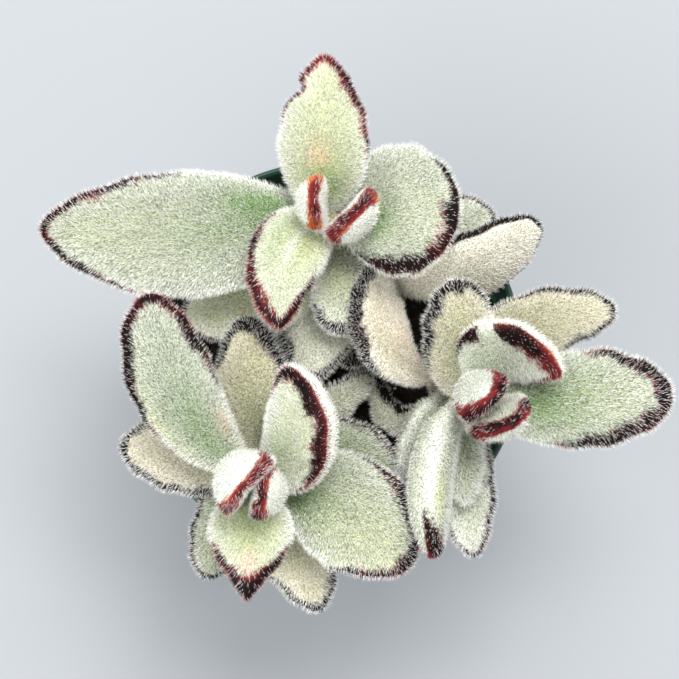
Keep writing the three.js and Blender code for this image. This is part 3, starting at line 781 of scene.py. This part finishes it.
# Soil: a filled body with a crumbly top, then loose crumbs and perlite on it
soilForm = {
    "sides": 120, "topRings": 44, "firstRing": 0.4, "floor": 1.9,
    "height": 81.0, "bump": 0.7, "fine": 0.8, "fineSize": 3.0,
    "footRadius": 32.8, "footHeight": 1.5, "floorRadius": 34.2, "shoulderRadius": 46.53, "shoulder": 78.0,
    "crumbs": 0.28, "crumbSize": 1.6, "perlite": 0.016, "perliteSize": 1.3,   # pieces on each square mm
}


# The height of the soil: the solid's own waves, and a finer roughness
def soilTop(form, x, y):
    wave = math.sin(0.9 * x + 0.5 * y) + math.cos(0.6 * x - 0.8 * y) * math.sin(0.35 * y)
    fine = noise.noise(Vector((x, y, 0)) / form["fineSize"]) + 0.5 * noise.noise(Vector((x, y, 3)))
    return form["height"] + form["bump"] * wave + form["fine"] * fine


def makeSoil(form, materials):
    sides = form["sides"]
    verts = [(0, 0, form["floor"])]
    topMask = [0.0]
    low = [(form["footRadius"], form["floor"]), (form["floorRadius"], form["floor"] + form["footHeight"]),
           (form["shoulderRadius"], form["shoulder"])]
    high = [(form["shoulderRadius"] * (1 - (ring + form["firstRing"]) / form["topRings"]), None)
            for ring in range(form["topRings"])]
    for radius, level in low + high:
        for side in range(sides):
            angle = 2 * math.pi * side / sides
            x, y = radius * math.cos(angle), radius * math.sin(angle)
            verts.append((x, y, soilTop(form, x, y) if level is None else level))
            topMask.append(1.0 if level is None else 0.0)
    verts.append((0, 0, soilTop(form, 0, 0)))
    topMask.append(1.0)
    mesh = meshFrom("soilBody", verts, skinFaces(len(low + high), sides), {"top": topMask})
    crumbs = crumbTree()
    for seed, name, density, size, smoothness in ((3, "crumb", "crumbs", "crumbSize", 1),
                                                  (8, "perlite", "perlite", "perliteSize", 2)):
        inputs = {"Pieces per Square Metre": form[density] * 1e6, "Size": form[size] * mm, "Seed": seed,
                  "Smoothness": smoothness, "Material": materials[name]}
        loose = grow(crumbs, mesh, inputs)
        loose.materials.clear()
        settle("soil" + name.capitalize(), loose, [materials[name]], "soil", smoothShade=False)
        print("soil", name, len(loose.polygons), "triangles")
    settle("soilBody", mesh, [materials["soil"]], "soil", "soil")


# Loose lumps, each turned and stretched its own way
def crumbTree():
    tree = bpy.data.node_groups.new("soilCrumbs", "GeometryNodeTree")
    face = tree.interface
    face.new_socket("Geometry", in_out="INPUT", socket_type="NodeSocketGeometry")
    for name, kind in (("Pieces per Square Metre", "NodeSocketFloat"), ("Size", "NodeSocketFloat"),
                       ("Smoothness", "NodeSocketInt"), ("Seed", "NodeSocketInt"),
                       ("Material", "NodeSocketMaterial")):
        face.new_socket(name, in_out="INPUT", socket_type=kind)
    face.new_socket("Geometry", in_out="OUTPUT", socket_type="NodeSocketGeometry")
    entry = addNode(tree, "NodeGroupInput").outputs
    mask = addNode(tree, "GeometryNodeInputNamedAttribute", {"Name": "top"}, data_type="FLOAT")
    density = addNode(tree, "ShaderNodeMath", None,
                      {0: entry["Pieces per Square Metre"], 1: mask.outputs["Attribute"]},
                      operation="MULTIPLY")
    spots = addNode(tree, "GeometryNodeDistributePointsOnFaces", None,
                    {"Mesh": entry["Geometry"], "Density": density.outputs[0], "Seed": entry["Seed"]})
    lump = addNode(tree, "GeometryNodeMeshIcoSphere", {"Radius": 0.5}, {"Subdivisions": entry["Smoothness"]})
    turns = addNode(tree, "FunctionNodeRandomValue", {0: (0, 0, 0), 1: (6.28, 6.28, 6.28)},
                    {"Seed": entry["Seed"]}, data_type="FLOAT_VECTOR")
    shape = addNode(tree, "FunctionNodeRandomValue", {0: (0.4, 0.35, 0.3), 1: (1.7, 1.1, 0.8)},
                    {"Seed": entry["Seed"]}, data_type="FLOAT_VECTOR")
    size = addNode(tree, "ShaderNodeVectorMath", None, {0: shape.outputs[0], "Scale": entry["Size"]},
                   operation="SCALE")
    placed = addNode(tree, "GeometryNodeInstanceOnPoints", None,
                     {"Points": spots.outputs["Points"], "Instance": lump.outputs["Mesh"],
                      "Rotation": turns.outputs[0], "Scale": size.outputs[0]})
    real = addNode(tree, "GeometryNodeRealizeInstances", None, {"Geometry": placed.outputs[0]})
    finish = addNode(tree, "GeometryNodeSetMaterial", None,
                     {"Geometry": real.outputs[0], "Material": entry["Material"]})
    addNode(tree, "NodeGroupOutput", None, {"Geometry": finish.outputs[0]})
    return tree


# Stems: gently bent rods with leaf scars; foot, bend and tip in mm
stemForm = {"radius": 4.0, "taper": 0.12, "rings": 56, "sides": 24, "scarEvery": 6.5, "scarDepth": 0.35,
            "scarWander": 1.5, "rough": 0.3, "roughSize": 2.5, "roughBase": 0.4, "tipShrink": 0.25,
            "tipFrom": 0.95, "tipRise": 0.6, "hairFrom": 80.0}
stems = {
    "top": ((2.5, 26, 67), (2.5, 27.5, 101), (1.5, 35.5, 119)),
    "left": ((-15.5, -25, 67), (-16.5, -26.5, 101), (-18.5, -31.5, 119)),
    "right": ((30, -7.5, 67), (31.5, -8, 101), (38, -11.5, 118)),
}


def makeStem(head, number, form, material):
    foot, bend, tip = (Vector(p) for p in stems[head])
    verts = [foot]
    for ring in range(form["rings"] + 1):
        s = ring / form["rings"]
        centre = foot * (1 - s) ** 2 + bend * 2 * s * (1 - s) + tip * s * s
        for side in range(form["sides"]):
            angle = 2 * math.pi * side / form["sides"]
            wander = form["scarWander"] * math.sin(angle + centre.z)
            scar = math.sin(2 * math.pi * centre.z / form["scarEvery"] + wander)
            out = Vector((math.cos(angle), math.sin(angle), 0))
            where = (centre + out * form["radius"]) / form["roughSize"]
            rough = noise.noise(where + Vector((number * 9, 0, 0)))
            reach = form["radius"] * (1 - form["taper"] * s) - form["scarDepth"] * max(0, scar) ** 3
            shrink = 1 - form["tipShrink"] * float(smooth(form["tipFrom"], 1.0, s))
            reach = (reach + form["rough"] * (rough - form["roughBase"])) * shrink
            verts.append(centre + out * reach)
    verts.append(tip + Vector((0, 0, form["tipRise"] * form["radius"])))
    masks = {"stemHair": [1.0 if v.z > form["hairFrom"] else 0.0 for v in verts],
             "hairLength": [1.0] * len(verts)}
    mesh = meshFrom(head + "StemBark", verts, skinFaces(form["rings"] + 1, form["sides"]), masks)
    batches = [("cream", "stemHair", feltLook["stem"], feltLook["whiteLength"])]
    feltPiece(head + "StemFelt", mesh, batches, 900 + number, "stem")
    settle(head + "StemBark", mesh, [material], "stem", head + "_stem")


# One head of leaves: a skin for each leaf, then the hairs of all of them together
def makeHead(head, number, leaves):
    points, faces, masks, combs = [], [], [], []
    for index, given in enumerate(leaves):
        leafNumber = 20 * number + index
        verts, leafFaces, shape, leaf = leafSkin(given, leafNumber)
        floats, colour = leafPaint(verts, shape, leaf, leafNumber)
        name = f"{head}Leaf{index + 1:02d}Skin"
        shown = {key: floats[key] for key in ("rim", "band", "tone")}
        mesh = meshFrom(name, verts, leafFaces, shown, {"skin": colour})
        settle(name, mesh, [skins[leaf["age"]]], "leaf_" + leaf["age"], f"{head}_leaf_{index + 1:02d}")
        first = sum(map(len, points))
        faces += [tuple(corner + first for corner in sheet) for sheet in leafFaces]
        points.append(verts)
        masks.append(floats)
        combs.append(shape["comb"])
    joined = {key: np.concatenate([floats[key] for floats in masks]) for key in masks[0]}
    vectors = {"comb": np.concatenate(combs)}
    bed = meshFrom(head + "Bed", np.concatenate(points), faces, joined, vectors=vectors)
    light, dark = ("white", "cream", "sage"), ("black", "red", "rust")
    for part, seed in (("Upper", 1), ("Under", 11)):
        density = feltLook[part.lower()]
        batches = [(kind, kind + part, density, feltLook["whiteLength"]) for kind in light]
        feltPiece(head + part + "Felt", bed, batches, 100 * number + seed, "leaf_grown")
    batches = [(kind, kind + "Hair", feltLook["dark"], feltLook["darkLength"]) for kind in dark]
    feltPiece(head + "MarginHairs", bed, batches, 100 * number + 51, "leaf_grown")
    print(head, "head dressed")


makeStudio(studio)
print("studio ready")
hairs = {kind: hairMaterial(*look) for kind, look in hairColours.items()}
skins = {age: leafSkinMaterial(look) for age, look in skinLooks.items()}
finishes = {name: grainMaterial(look) for name, look in grainLooks.items()}
feltNodes = feltTree()
makePot(potForm, finishes["pot"])
makeSoil(soilForm, finishes)
for number, (head, leaves) in enumerate(heads.items()):
    makeStem(head, number, stemForm, finishes["stem"])
    makeHead(head, number, leaves)
